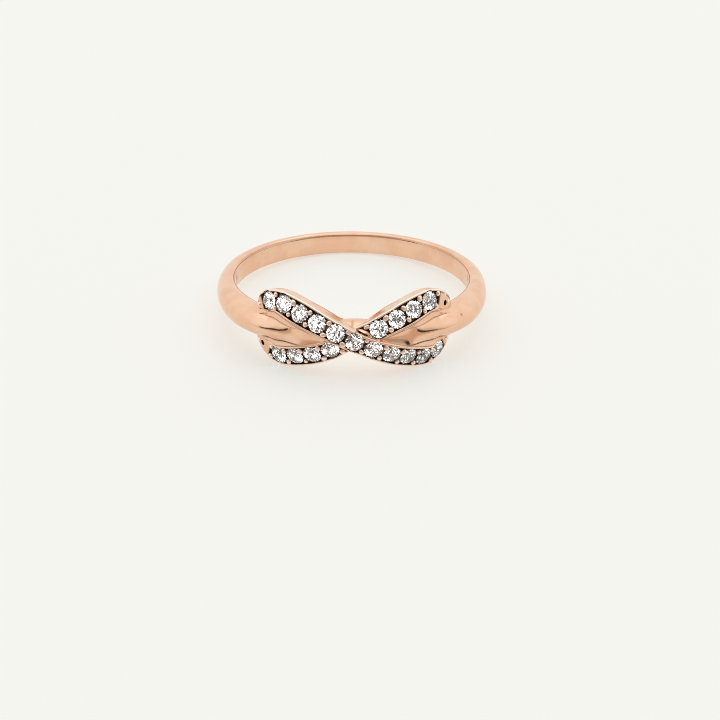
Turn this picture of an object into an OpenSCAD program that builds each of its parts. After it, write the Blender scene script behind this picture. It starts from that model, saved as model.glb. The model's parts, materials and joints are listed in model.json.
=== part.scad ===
// Infinity ring: a slim half-round band whose front is a sideways figure eight of two stone-set strands.
// It lies on its side as it rests by itself, on the lower lobes of the head and the back of the band.
// Ring angles run round the finger axis, 0 at the middle of the head and 180 at the back, minus to the left.

/* [Band] */
// Inside diameter of the band
bore_d = 17.3; // [15:0.1:21]
// Width of the band at the back
back_w = 1.7; // [1.6:0.02:2.2]
// Thickness of the band at the back
back_t = 1.15; // [0.9:0.05:1.4]
// Width of the band at the shoulders, where it meets the head
shoulder_w = 2; // [1.9:0.02:2.4]
// Thickness of the band at the shoulders
shoulder_t = 2.02; // [1.8:0.02:2.2]
// Softening of the inner edges, as a share of the width and thickness there
edge_soft = 0.3; // [0.2:0.01:0.38]

/* [Head] */
// Width of the head between the ends of the under strand
head_w = 13.6; // [12.8:0.1:14.6]
// How much shorter each end of the over strand is
over_short = 0.3; // [0.2:0.01:0.4]
// Height of each strand's centre line above and below the middle at the lobes
lobe_h = 2.07; // [1.9:0.01:2.3]
// Depth of the groove between a tongue and a strand's rim
groove = 0.15; // [0.13:0.01:0.18]
// Height of the over strand's top above the bore at the crossing
crossing_rise = 2.29; // [2.1:0.01:2.6]
// Height of a strand's top above the bore at its ends
end_rise = 0.98; // [0.9:0.01:1.2]
// How far the under strand lies below the over strand at the crossing
under_drop = 0.65; // [0.5:0.01:0.8]
// Outward lean of a strand's top at the lobes, in degrees
lean = 22; // [10:1:26]
// Width of the web below the crossing, along the finger
web_w = 2.1; // [1.9:0.02:2.4]
// Thickness of the web below the crossing
web_t = 2; // [1.8:0.02:2.1]

/* [Strand] */
// Width of each strand
strand_w = 1.74; // [1.7:0.02:2]
// Width of the raised rim along each edge of a strand
rim_w = 0.17; // [0.12:0.01:0.2]
// Depth of the channel between the rims
channel_depth = 0.2; // [0.15:0.01:0.3]

/* [Stones] */
// Diameter of a stone at its girdle
stone_d = 1.3; // [1.1:0.02:1.34]
// Spacing of the stones along a strand
stone_pitch = 1.48; // [1.46:0.01:1.52]
// Distance along the under strand from the crossing to its first stone on each side
under_first = 1.88; // [1.84:0.01:1.96]
// Diameter of a stone's table as a share of the stone
table_share = 0.56; // [0.5:0.01:0.64]
// Height of a stone's crown as a share of its diameter
crown_share = 0.15; // [0.12:0.01:0.17]
// Depth of a stone's pavilion as a share of its diameter
pavilion_share = 0.43; // [0.4:0.01:0.45]
// Thickness of a stone's girdle as a share of its diameter
girdle_share = 0.03; // [0.02:0.01:0.05]
// Height of a stone's table above the rims
table_rise = 0.05; // [0:0.01:0.1]
// Gap between a stone and its seat
seat_gap = 0.03; // [0.02:0.01:0.05]

/* [Beads] */
// Diameter of a setting bead
bead_d = 0.4; // [0.3:0.02:0.44]
// Distance of the beads from the strand's centre line
bead_out = 0.47; // [0.42:0.01:0.52]
// Height of a bead's top above the rims
bead_rise = 0.08; // [0:0.01:0.12]
// Distance of the single bead at each strand end from the end
end_bead_in = 0.12; // [0.05:0.01:0.2]
// Distance of the drilled mark on each under strand end from the end
mark_in = 0.75; // [0.65:0.01:0.85]
// Diameter of the drilled mark
mark_d = 0.32; // [0.2:0.02:0.4]

/* [Hidden] */
over_count = 11;
under_side_count = 4;

bore_r = bore_d / 2;
head_angle = asin(head_w / 2 / (bore_r + end_rise));
half_strand = strand_w / 2;
stone_r = stone_d / 2;
girdle_t = girdle_share * stone_d;
crown_h = crown_share * stone_d;
pavilion_h = pavilion_share * stone_d;
bead_r = bead_d / 2;

// How finely the band, its section, the strands, the beads, the seats and the bore are drawn
band_step = 5;
section_steps = 12;
corner_steps = 3;
strand_stations = 58;
bead_sides = 8;
seat_sides = 16;
bore_sides = 128;
// Squared width at the very tip of a strand, as a share, so that its end isn't a knife edge
tip_width = 0.01;
// Small share of the head angle that gives a strand's direction
nudge = 0.002;
// How far the band and the over strand reach inside the bore before it is cut, and the under strand, which
// goes deeper so that no two faces coincide
overlap = 0.35;
deep_overlap = 0.5;
// How far the tongues reach into the strands, and where along a strand its inner rim is measured
bury = 0.1;
rim_shares = [0.1:0.05:0.85];
// What the rough bore leaves for the last cut
skim = 0.07;
// Tries at the resting tilt
settle_steps = 6;

// Band behind the shoulders.
// Columns: ring angle, width from back (0) to shoulder (1), thickness from back (0) to shoulder (1)
BACK = [
    [180, 0.00, 0.00],
    [150, 0.05, 0.00],
    [120, 0.25, 0.01],
    [ 90, 0.55, 0.10],
    [ 75, 0.80, 0.32],
    [ 60, 1.00, 0.72]
];

// Tongue between the strands.
// Columns: share of the head angle, shares of the shoulder's width and thickness, share that is web,
// share that spreads from strand to strand, half width of its crown as a share of that gap
TONGUE = [
    [1.16, 1.00, 0.98, 0.00, 0.00, 0.85],
    [1.00, 1.00, 1.00, 0.00, 0.00, 0.80],
    [0.87, 1.00, 1.00, 0.00, 0.80, 0.68],
    [0.75, 1.00, 0.97, 0.00, 1.00, 0.58],
    [0.60, 1.00, 0.95, 0.00, 1.00, 0.55],
    [0.46, 1.00, 0.95, 0.00, 1.00, 0.75],
    [0.30, 1.00, 0.97, 0.00, 1.00, 1.00],
    [0.20, 0.70, 0.92, 0.60, 0.40, 1.00],
    [0.10, 0.48, 0.80, 0.95, 0.00, 1.00],
    [0.00, 0.48, 0.80, 1.00, 0.00, 1.00]
];

// Strand from the crossing to its end.
// Columns: share of the head angle, share of the lobe height, share of the rise from end to crossing,
// share of the lean, share of the strand's width, share of the under strand's drop
STRAND = [
    [0.00, 0.000, 1.00, 0.00, 0.86, 1.00],
    [0.16, 0.315, 0.95, 0.60, 0.90, 0.55],
    [0.32, 0.590, 0.81, 0.85, 1.00, 0.33],
    [0.47, 0.795, 0.60, 1.00, 1.06, 0.24],
    [0.66, 0.980, 0.34, 0.80, 1.00, 0.14],
    [0.75, 1.000, 0.25, 0.65, 0.94, 0.08],
    [0.86, 0.870, 0.14, 0.45, 0.90, 0.03],
    [1.00, 0.500, 0.00, 0.35, 0.80, 0.00]
];

// Smooth value of column c of table t at x, with a cubic through the rows
function row_at(t, x) = max([for (i = [0:len(t) - 2]) if (i == 0 || x >= t[i][0]) i]);
function slope(t, i, c) =
    let (a = max(i - 1, 0), b = min(i + 1, len(t) - 1)) (t[b][c] - t[a][c]) / (t[b][0] - t[a][0]);
function smooth(t, x, c) =
    let (i = row_at(t, x), h = t[i + 1][0] - t[i][0], s = (x - t[i][0]) / h)
    (1 + 2 * s) * pow(1 - s, 2) * t[i][c] + s * pow(1 - s, 2) * h * slope(t, i, c)
    + s * s * (3 - 2 * s) * t[i + 1][c] + s * s * (s - 1) * h * slope(t, i + 1, c);
function unit(v) = v / norm(v);
function mix(a, b, s) = a + (b - a) * s;
function round_at(r, angle, z) = [r * sin(angle), -r * cos(angle), z];

// Band sizes at each row: ring angle, half width, thickness, share that spreads, half width of the crown
back_rows = [
    for (r = BACK)
    [r[0], mix(back_w, shoulder_w, r[1]) / 2, mix(back_t, shoulder_t, r[2]), 0, TONGUE[0][5]]
];
tongue_rows = [
    for (r = TONGUE)
    [
        r[0] * head_angle,
        mix(r[1] * shoulder_w, web_w, r[3]) / 2,
        mix(r[2] * shoulder_t, web_t, r[3]),
        r[4],
        r[5]
    ]
];
half_band = concat(back_rows, tongue_rows);
half_count = len(half_band);
// The same from the head to the back, with a row past each for the slope there
function row_to(r, angle) = [for (c = [0:len(r) - 1]) c == 0 ? angle : r[c]];
band_table = concat(
    [row_to(half_band[half_count - 2], -half_band[half_count - 2][0])],
    [for (i = [half_count - 1:-1:0]) half_band[i]],
    [row_to(half_band[1], 360 - half_band[1][0])]
);

// A strand's centre line at share a of the head angle, -1 to 1. Side is -1 for the over strand, which
// falls from left to right, and 1 for the under strand, which rises.
strand_table = concat(
    [for (i = [len(STRAND) - 1:-1:1]) let (r = STRAND[i]) [-r[0], -r[1], r[2], -r[3], r[4], r[5]]],
    STRAND
);
function strand_radius(a, side) =
    bore_r + mix(end_rise, crossing_rise, smooth(strand_table, a, 2))
    - (side > 0 ? under_drop * smooth(strand_table, a, 5) : 0);
function strand_point(a, side) =
    round_at(strand_radius(a, side), a * head_angle, side * lobe_h * smooth(strand_table, a, 1));

// Frame of a strand at a: centre, direction across its top, and direction out of its top
function strand_frame(a, side) =
    let (
        p = strand_point(a, side),
        along = unit(strand_point(a + nudge, side) - strand_point(a - nudge, side)),
        across = unit([0, 0, 1] - along * along[2]),
        out = cross(along, across),
        turn = side * lean * smooth(strand_table, a, 3)
    )
    [p, across * cos(turn) - out * sin(turn), out * cos(turn) + across * sin(turn), along];

// Section of a strand: across and out, with both rims and the channel between them, or nearly flat past
// the stones
function strand_section(half, depth, open) =
    let (
        soft = rim_w / 3,
        lip = half - rim_w,
        channel = open ? channel_depth : soft / 4,
        floor_half = lip - channel / 4
    )
    concat(
        [
            [-half, -depth],
            [-half, -soft * 1.5],
            [-half + soft, 0],
            [-lip, -soft / 4],
            [-floor_half, -channel]
        ],
        [
            [floor_half, -channel],
            [lip, -soft / 4],
            [half - soft, 0],
            [half, -soft * 1.5],
            [half, -depth]
        ]
    );

// Inner edge of a strand's rim at share a: ring angle, distance from the middle of the band and radius
function rim_row(a, side) =
    let (f = strand_frame(a, side), p = f[0] - f[1] * half_strand * smooth(strand_table, a, 4) * side)
    [atan2(p[0], -p[1]), side * p[2], norm([p[0], p[1]])];
over_rim = [for (a = rim_shares) rim_row(a, -1)];
under_rim = [for (a = rim_shares) rim_row(a, 1)];
function rim_at(rows, angle, c) = lookup(abs(angle), [for (r = rows) [r[0], r[c]]]);

// Section of the band as radius and height: flat inner face below the bore, soft inner edges and a dome
function band_section(half, thick) =
    let (
        flat = half * (1 - edge_soft),
        edge = thick * edge_soft
    )
    concat(
        [[bore_r - overlap, -flat]],
        [for (i = [1:corner_steps]) let (a = 90 * i / corner_steps)
            [bore_r + edge * (1 - cos(a)), -flat - (half - flat) * sin(a)]],
        [for (i = [1:section_steps - 1]) let (a = 180 * i / section_steps)
            [bore_r + edge + (thick - edge) * sin(a), -half * cos(a)]],
        [for (i = [corner_steps:-1:1]) let (a = 90 * i / corner_steps)
            [bore_r + edge * (1 - cos(a)), flat + (half - flat) * sin(a)]],
        [[bore_r - overlap, flat]]
    );

// Section between the strands, point for point as the band's: a crown on a slope from rim to rim, with its
// sides inside the strands
function spread_section(angle, thick, crown) =
    let (
        low = angle > 0 ? over_rim : under_rim,
        high = angle > 0 ? under_rim : over_rim,
        low_z = -max(rim_at(low, angle, 1), 0) - bury,
        high_z = max(rim_at(high, angle, 1), 0) + bury,
        low_r = rim_at(low, angle, 2) - groove,
        high_r = rim_at(high, angle, 2) - groove,
        rise = bore_r + thick - mix(low_r, high_r, -low_z / (high_z - low_z))
    )
    concat(
        [[bore_r - overlap, low_z]],
        [for (i = [1:corner_steps]) [mix(bore_r, low_r, i / corner_steps), low_z]],
        [for (i = [1:section_steps - 1])
            let (u = -cos(180 * i / section_steps), z = abs(u) * (u < 0 ? low_z : high_z))
            [mix(low_r, high_r, (z - low_z) / (high_z - low_z)) + rise * max(0, 1 - pow(u / crown, 2)), z]],
        [for (i = [corner_steps:-1:1]) [mix(bore_r, high_r, i / corner_steps), high_z]],
        [[bore_r - overlap, high_z]]
    );
function band_ring(angle) =
    let (
        s = [for (c = [1:4]) smooth(band_table, abs(angle), c)],
        plain = band_section(s[0], s[1]),
        spread = spread_section(angle, s[1], s[3]),
        share = min(max(s[2], 0), 1)
    )
    [for (i = [0:len(plain) - 1]) let (p = mix(plain[i], spread[i], share)) round_at(p[0], angle, p[1])];
band_stations = [for (angle = [-180:band_step:180 - band_step]) band_ring(angle)];

// Where the strand ends, its width closes in as a half circle
function end_width(a, side) =
    let (
        tip = (a < 0 ? -1 : 1) * end_of(side),
        d = norm(strand_point(a, side) - strand_point(tip, side))
    )
    d >= half_strand ? 1 : sqrt(max(tip_width, 1 - pow(1 - d / half_strand, 2)));
function strand_ring(a, side) =
    let (
        f = strand_frame(a, side),
        reach = side < 0 ? overlap : deep_overlap,
        depth = strand_radius(a, side) - bore_r + reach + half_strand * sin(lean),
        half = half_strand * smooth(strand_table, a, 4),
        w = end_width(a, side)
    )
    [
        for (p = strand_section(half, depth, abs(a) < open_share(side)))
        f[0] + f[1] * p[0] * w + f[2] * p[1]
    ];
function station_share(i) = sin(90 * (2 * i / strand_stations - 1));
function strand_rings(side) =
    [for (i = [0:strand_stations]) strand_ring(station_share(i) * end_of(side), side)];

// Share of the head angle at a distance along a strand from the crossing, from a table of chords
function chord(a, b, side) = norm(strand_point(a, side) - strand_point(b, side));
function along_table(side, count = 60) =
    let (chords = [for (i = [0:count - 1]) chord(i / count, (i + 1) / count, side)])
    [for (total = 0, i = 0; i <= count; total = total + (i < count ? chords[i] : 0), i = i + 1)
        [total, i / count]];
over_along = along_table(-1);
under_along = along_table(1);
function over_share(d) = sign(d) * lookup(abs(d), over_along);
function under_share(d) = sign(d) * lookup(abs(d), under_along);

over_places = [for (i = [0:over_count - 1]) (i - (over_count - 1) / 2) * stone_pitch];
under_right = [for (i = [0:under_side_count - 1]) under_first + i * stone_pitch];
under_left = [for (i = [1:under_side_count]) -under_right[under_side_count - i]];
over_length = over_along[len(over_along) - 1][0] - over_short;
under_length = under_along[len(under_along) - 1][0];

// Share of the head angle at which a strand ends
function end_of(side) = side < 0 ? over_share(over_length) : 1;
// Share at which its channel ends: round the last over stone, and past the last under stone
function open_share(side) =
    side < 0 ? over_share(over_places[over_count - 1] + stone_r + seat_gap)
    : under_share(under_right[under_side_count - 1] + stone_pitch / 2);

// Resting pose: the tilt at which the lower lobes and the back of the band touch the surface together
function drop_at(points, tilt) = min([for (p = points) p[2] * cos(tilt) - p[1] * sin(tilt)]);
function settle(tilt, steps) =
    steps == 0 ? tilt :
    settle(tilt + (drop_at(back_points, tilt) - drop_at(lobe_points, tilt)) / (bore_d + back_t) * 180 / PI,
        steps - 1);
back_points = [for (s = band_stations) for (p = s) if (p[1] > 0 && norm([p[0], p[1]]) > bore_r - nudge) p];
lobe_points = [for (s = strand_rings(-1)) for (p = s) if (norm([p[0], p[1]]) > bore_r) p];
rest_tilt = settle(0, settle_steps);
rest_lift = -drop_at(lobe_points, rest_tilt);
// The bounding box is centred front to back: the head's front and the back of the band set it
front_y = -(bore_r + crossing_rise + bead_rise) * cos(rest_tilt);
rear_y = (bore_r + back_t) * cos(rest_tilt);
rest_shift = -(front_y + rear_y) / 2;

module rest_pose() {
    translate([0, rest_shift, rest_lift]) rotate([-rest_tilt, 0, 0]) children();
}

// Skin over a list of point rings. A loop joins its last ring to the first, otherwise the ends are capped.
module skin(rings, loop) {
    n = len(rings[0]);
    m = len(rings);
    joins = loop ? m : m - 1;
    walls = [
        for (i = [0:joins - 1]) for (j = [0:n - 1])
        let (k = (i + 1) % m, l = (j + 1) % n)
        each [[i * n + j, i * n + l, k * n + l], [i * n + j, k * n + l, k * n + j]]
    ];
    caps = loop ? [] : [[for (j = [n - 1:-1:0]) j], [for (j = [0:n - 1]) (m - 1) * n + j]];
    polyhedron([for (r = rings) each r], concat(walls, caps), convexity = 10);
}

module shank() {
    skin(band_stations, true);
}

module strand(side) {
    skin(strand_rings(side), false);
}

// Places its children at share a of a strand, with X along the strand, Y across it and Z out of its top
module on_strand(a, side) {
    f = strand_frame(a, side);
    multmatrix([
        [f[3][0], f[1][0], f[2][0], f[0][0]],
        [f[3][1], f[1][1], f[2][1], f[0][1]],
        [f[3][2], f[1][2], f[2][2], f[0][2]],
        [0, 0, 0, 1]
    ])
    children();
}

module bead() {
    translate([0, 0, bead_rise - bead_r]) sphere(r = bead_r, $fn = bead_sides);
}

module bead_pair() {
    for (y = [-bead_out, bead_out]) translate([0, y, 0]) bead();
}

module over_beads() {
    for (i = [1:over_count - 1]) on_strand(over_share((i - over_count / 2) * stone_pitch), -1) bead_pair();
    for (s = [-1, 1]) on_strand(over_share(s * (over_length - end_bead_in)), -1) bead();
}

module under_beads() {
    for (d = concat(under_right, [under_first + under_side_count * stone_pitch]))
    for (s = [-1, 1])
    on_strand(under_share(s * (d - stone_pitch / 2)), 1) bead_pair();
    for (s = [-1, 1])
    on_strand(under_share(s * (under_length - end_bead_in - bead_r)), 1) translate([0, bead_r * s, 0]) bead();
}

// Drilled mark on the plain end of the under strand
module mark() {
    cylinder(r = mark_d / 2, h = 2 * channel_depth, center = true, $fn = bead_sides);
}

// Open seat round a stone: pavilion, girdle and crown with the gap all round, open above the table
module seat() {
    r = (stone_r + seat_gap) / cos(180 / seat_sides);
    top = table_rise;
    girdle_top = top - crown_h + seat_gap;
    girdle_low = top - crown_h - girdle_t - seat_gap;
    open_r = stone_r * table_share + seat_gap * 2;
    rotate_extrude($fn = seat_sides)
    polygon([
        [0, girdle_low - pavilion_h - seat_gap],
        [r, girdle_low],
        [r, girdle_top],
        [open_r, top + seat_gap],
        [0, top + seat_gap]
    ]);
}

// Round brilliant cut: table, 8 stars, 8 kites, 16 upper and 16 lower girdle facets and 8 mains
module brilliant() {
    girdle_top = table_rise - crown_h;
    girdle_low = girdle_top - girdle_t;
    culet = girdle_low - pavilion_h;
    table_r = stone_r * table_share;
    half_turn = 22.5;
    lower_reach = 0.24;
    star_r = mix(table_r, stone_r, 0.5) / cos(half_turn);
    star_z = girdle_top + crown_h * (stone_r - star_r * cos(half_turn)) / (stone_r - table_r);
    main_r = stone_r * lower_reach / cos(half_turn);
    main_z = culet + pavilion_h * main_r * cos(half_turn) / stone_r;
    function at(r, a, z) = [r * cos(a), r * sin(a), z];
    points = concat(
        [for (k = [0:7]) at(table_r, 45 * k, table_rise)],
        [for (k = [0:7]) at(star_r, 45 * k + half_turn, star_z)],
        [for (k = [0:15]) at(stone_r, half_turn * k, girdle_top)],
        [for (k = [0:15]) at(stone_r, half_turn * k, girdle_low)],
        [for (k = [0:7]) at(main_r, 45 * k + half_turn, main_z)],
        [[0, 0, culet]]
    );
    star = 8;
    upper = 16;
    lower = 32;
    main = 48;
    tip = 56;
    faces = concat(
        [[for (k = [7:-1:0]) k]],
        [for (k = [0:7]) [k, (k + 1) % 8, star + k]],
        [for (k = [0:7]) each [
            [k, star + k, upper + 2 * k],
            [k, upper + 2 * k, star + (k + 7) % 8],
            [star + k, upper + 2 * k + 1, upper + 2 * k],
            [star + k, upper + (2 * k + 2) % 16, upper + 2 * k + 1],
            [main + k, lower + 2 * k, lower + 2 * k + 1],
            [main + k, lower + 2 * k + 1, lower + (2 * k + 2) % 16],
            [tip, lower + 2 * k, main + k],
            [tip, main + (k + 7) % 8, lower + 2 * k]
        ]],
        [for (k = [0:15]) each [
            [upper + k, upper + (k + 1) % 16, lower + (k + 1) % 16],
            [upper + k, lower + (k + 1) % 16, lower + k]
        ]]
    );
    polyhedron(points, faces);
}

module ring_body() {
    color([0.94, 0.74, 0.62])
    rest_pose()
    difference() {
        // A resize of zeros changes no size and gives the whole casting as one mesh
        resize([0, 0, 0])
        difference() {
            union() {
                shank();
                strand(-1);
                strand(1);
                over_beads();
                under_beads();
            }
            for (d = over_places) on_strand(over_share(d), -1) seat();
            for (d = concat(under_left, under_right)) on_strand(under_share(d), 1) seat();
            for (s = [-1, 1]) on_strand(under_share(s * (under_length - mark_in)), 1) mark();
            // A rough bore, so that the last cut only skims the wall
            cylinder(r = bore_r - skim, h = 2 * bore_r, center = true, $fn = bore_sides / 2);
        }
        cylinder(r = bore_r, h = 2 * bore_r, center = true, $fn = bore_sides);
    }
}

module over_stone(i) {
    color([0.93, 0.95, 0.97])
    rest_pose() on_strand(over_share(over_places[i - 1]), -1) brilliant();
}

module under_stone(i) {
    color([0.93, 0.95, 0.97])
    rest_pose() on_strand(under_share(concat(under_left, under_right)[i - 1]), 1) brilliant();
}

ring_body();
for (i = [1:over_count]) over_stone(i);
for (i = [1:2 * under_side_count]) under_stone(i);
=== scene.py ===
"""Infinity ring, dressed for a studio picture.

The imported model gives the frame, the stones and the resting pose. Its casting is modelled again in finer
pieces that stand for it: a half-round band with its two tongues, two strands that cross, and the beads.
Each is modelled in millimetres round the finger axis, and then laid down in the frame, in metres.
"""

import json
import math
import random

import bmesh
import bpy
import numpy as np
from bpy.props import FloatProperty, FloatVectorProperty, PointerProperty
from mathutils import Matrix, Vector


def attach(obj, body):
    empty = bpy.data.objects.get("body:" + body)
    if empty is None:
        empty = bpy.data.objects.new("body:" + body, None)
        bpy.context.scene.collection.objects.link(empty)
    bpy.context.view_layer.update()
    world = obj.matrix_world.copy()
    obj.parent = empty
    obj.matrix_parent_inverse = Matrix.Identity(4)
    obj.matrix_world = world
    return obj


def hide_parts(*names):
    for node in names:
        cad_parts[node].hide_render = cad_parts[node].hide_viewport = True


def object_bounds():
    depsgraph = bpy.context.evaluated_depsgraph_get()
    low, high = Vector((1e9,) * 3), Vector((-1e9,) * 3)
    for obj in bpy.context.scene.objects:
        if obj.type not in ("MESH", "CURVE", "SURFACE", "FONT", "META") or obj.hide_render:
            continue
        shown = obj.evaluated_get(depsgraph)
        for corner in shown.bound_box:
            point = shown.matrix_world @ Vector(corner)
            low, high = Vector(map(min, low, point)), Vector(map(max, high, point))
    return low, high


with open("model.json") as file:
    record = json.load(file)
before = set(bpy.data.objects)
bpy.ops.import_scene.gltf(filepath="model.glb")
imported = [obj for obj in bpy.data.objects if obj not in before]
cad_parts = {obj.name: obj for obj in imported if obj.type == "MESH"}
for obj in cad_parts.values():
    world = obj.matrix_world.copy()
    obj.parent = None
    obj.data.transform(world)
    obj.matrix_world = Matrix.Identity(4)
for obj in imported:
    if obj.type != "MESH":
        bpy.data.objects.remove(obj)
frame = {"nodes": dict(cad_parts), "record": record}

bl_info = {
    "name": "Infinity Ring",
    "version": (1, 0, 0),
    "blender": (4, 5, 0),
    "location": "3D View > Sidebar > Ring",
    "description": "Models an infinity ring's fine metal, stones and studio round its packed frame",
    "category": "Add Mesh",
}

CAD_BOX = [list(corner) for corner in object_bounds()]
MM = 0.001

# Band behind the shoulders.
# Columns: ring angle, width from back (0) to shoulder (1), thickness from back (0) to shoulder (1)
BACK = (
    (60, 1.00, 0.72),
    (75, 0.80, 0.32),
    (90, 0.55, 0.10),
    (120, 0.25, 0.01),
    (150, 0.05, 0.00),
    (180, 0.00, 0.00),
    (210, 0.05, 0.00),
)

# Tongue between the strands.
# Columns: share of the head angle, shares of the shoulder's width and thickness, share that is web,
# share that spreads from strand to strand, half width of its crown as a share of that gap
TONGUE = (
    (0.00, 0.48, 0.80, 1.00, 0.00, 1.00),
    (0.10, 0.48, 0.80, 0.95, 0.00, 1.00),
    (0.20, 0.70, 0.92, 0.60, 0.40, 1.00),
    (0.30, 1.00, 0.97, 0.00, 1.00, 1.00),
    (0.46, 1.00, 0.95, 0.00, 1.00, 0.75),
    (0.60, 1.00, 0.95, 0.00, 1.00, 0.55),
    (0.75, 1.00, 0.97, 0.00, 1.00, 0.58),
    (0.87, 1.00, 1.00, 0.00, 0.80, 0.68),
    (1.00, 1.00, 1.00, 0.00, 0.00, 0.80),
    (1.16, 1.00, 0.98, 0.00, 0.00, 0.85),
)

# Strand from the crossing to its end.
# Columns: share of the head angle, share of the lobe height, share of the rise from end to crossing,
# share of the lean, share of the strand's width, share of the under strand's drop
STRAND = (
    (0.00, 0.000, 1.00, 0.00, 0.86, 1.00),
    (0.16, 0.315, 0.95, 0.60, 0.90, 0.55),
    (0.32, 0.590, 0.81, 0.85, 1.00, 0.33),
    (0.47, 0.795, 0.60, 1.00, 1.06, 0.24),
    (0.66, 0.980, 0.34, 0.80, 1.00, 0.14),
    (0.75, 1.000, 0.25, 0.65, 0.94, 0.08),
    (0.86, 0.870, 0.14, 0.45, 0.90, 0.03),
    (1.00, 0.500, 0.00, 0.35, 0.80, 0.00),
)

# Signs of the columns on the strand's other half, which is this one turned half round
STRAND_SIGNS = (-1, -1, 1, -1, 1, 1)

OVER_COUNT = 11
UNDER_SIDE_COUNT = 4
OVER, UNDER = -1, 1


def a_length(name, text, millimetres):
    """A length in millimetres, kept in metres."""
    return FloatProperty(
        name=name, description=text, default=millimetres * MM, min=0.0, unit="LENGTH", precision=5
    )


def a_share(name, text, value):
    """A share from 0 to 1."""
    return FloatProperty(name=name, description=text, default=value, min=0.0, max=1.0, subtype="FACTOR")


def a_colour(name, text, value):
    """A colour."""
    return FloatVectorProperty(
        name=name, description=text, default=value, size=3, min=0.0, max=1.0, subtype="COLOR"
    )


class RingSizes(bpy.types.PropertyGroup):
    """Sizes of the band and the strands, as packed."""

    bore_d: a_length("Inside diameter", "Across the band's inside", 17.3)
    back_w: a_length("Back width", "Along the finger axis", 1.7)
    back_t: a_length("Back thickness", "From the bore outwards", 1.15)
    shoulder_w: a_length("Shoulder width", "At the head, along the finger axis", 2.0)
    shoulder_t: a_length("Shoulder thickness", "At the head, outwards", 2.02)
    edge_soft: a_share("Edge softening", "Inner edges, as a share of width and thickness", 0.3)
    head_w: a_length("Head width", "Between the under strand's ends", 13.6)
    over_short: a_length("Over strand shortening", "How much shorter it is at each end", 0.3)
    lobe_h: a_length("Lobe height", "From the middle to a strand's centre line", 2.07)
    groove: a_length("Groove", "Depth of a tongue's edge below the rim", 0.07)
    groove_dip: a_length("Groove dip", "How much deeper it is right at the rim", 0.06)
    crease: a_length("Crease", "Depth of the line along a tongue's crown", 0.03)
    crossing_rise: a_length("Crossing rise", "Over strand's height above the bore", 2.29)
    end_rise: a_length("End rise", "Height above the bore at a strand's ends", 0.98)
    under_drop: a_length("Under drop", "How far the under strand lies lower", 0.65)
    lean: FloatProperty(
        name="Lean",
        description="Outward lean of a strand's top at the lobes",
        default=math.radians(22),
        subtype="ANGLE",
    )
    web_w: a_length("Web width", "Along the finger axis, below the crossing", 2.1)
    web_t: a_length("Web thickness", "From the bore outwards", 2.0)
    strand_w: a_length("Strand width", "Width of each strand", 1.74)
    rim_w: a_length("Rim width", "Width of the rim along each edge of a strand", 0.17)
    low_rim: a_length("Low rim", "How much lower the outer rim of a lower lobe is", 0.12)
    inner_rim: a_length("Inner rim", "How much lower the rims on the tongues' side are", 0.07)
    channel_depth: a_length("Channel depth", "Depth of the channel between the rims", 0.2)
    inner_edge: a_length("Inner edge", "Radius of the strands' edges at the bore", 0.16)


class SettingSizes(bpy.types.PropertyGroup):
    """Sizes of the stones' seats and of the beads."""

    stone_d: a_length("Stone diameter", "At the girdle", 1.3)
    stone_pitch: a_length("Stone pitch", "Between neighbours along a strand", 1.48)
    under_first: a_length("First under stone", "Distance from the crossing to the first one", 1.88)
    crown_share: a_share("Crown height", "As a share of the diameter", 0.15)
    pavilion_share: a_share("Pavilion depth", "As a share of the diameter", 0.43)
    girdle_share: a_share("Girdle thickness", "As a share of the diameter", 0.03)
    table_rise: a_length("Table rise", "Above the rims", 0.05)
    seat_gap: a_length("Seat gap", "Between a stone and its seat", 0.03)
    seat_flare: a_length("Seat flare", "How far a seat opens towards the rims", 0.09)
    bead_d: a_length("Bead diameter", "Across a setting bead", 0.44)
    bead_out: a_length("Bead offset", "From the strand's centre line", 0.47)
    bead_rise: a_length("Bead rise", "Top above the rims", 0.08)
    end_bead_in: a_length("End bead", "From a strand's end to its single bead", 0.12)
    end_bead_lift: a_length("End bead lift", "How much higher the over strand's end beads stand", 0.06)
    mark_in: a_length("Mark distance", "From the under strand's end to its drilled mark", 0.78)
    mark_d: a_length("Mark diameter", "Across the drilled mark", 0.4)


class Finish(bpy.types.PropertyGroup):
    """Colours and polish of the metal and the stones."""

    gold: a_colour("Rose gold", "Polished metal", (0.90, 0.60, 0.42))
    gold_warm: a_colour("Warm rose gold", "The metal's redder patches", (0.86, 0.53, 0.36))
    # Colour of the shade painted in the recesses
    gold_painted_shade: a_colour("Painted shade on rose gold", "Shade painted in the metal's recesses", (0.055, 0.018, 0.010))
    # Colour of the highlight painted on the rims and beads
    gold_painted_highlight: a_colour("Painted highlight on rose gold", "Highlight painted on rims and beads", (1.0, 0.86, 0.74))
    polish: a_share("Polish roughness", "Of the polished metal", 0.10)
    wear: a_share("Wear", "Strength of the fine marks of wear", 0.5)
    stone: a_colour("Stone", "Clear stones", (1.0, 1.0, 1.0))
    stone_shade: a_colour("Stone shade", "The stones' faint clouds", (0.93, 0.95, 0.98))
    floor: a_colour("Floor", "Paper of the floor", (0.45, 0.45, 0.44))


def names_of(group):
    """Names of a group's own properties."""
    return [name for name in group.bl_rna.properties.keys() if name not in ("name", "rna_type")]


def mix(a, b, s):
    """A value between a and b."""
    return a + (b - a) * s


def ramp(x, low, high):
    """A soft step from 0 at low to 1 at high."""
    s = np.clip((np.asarray(x, float) - low) / (high - low), 0.0, 1.0)
    return s * s * (3 - 2 * s)


def bell(x):
    """1 at 0, falling off on both sides."""
    return np.exp(-(x**2))


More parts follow.
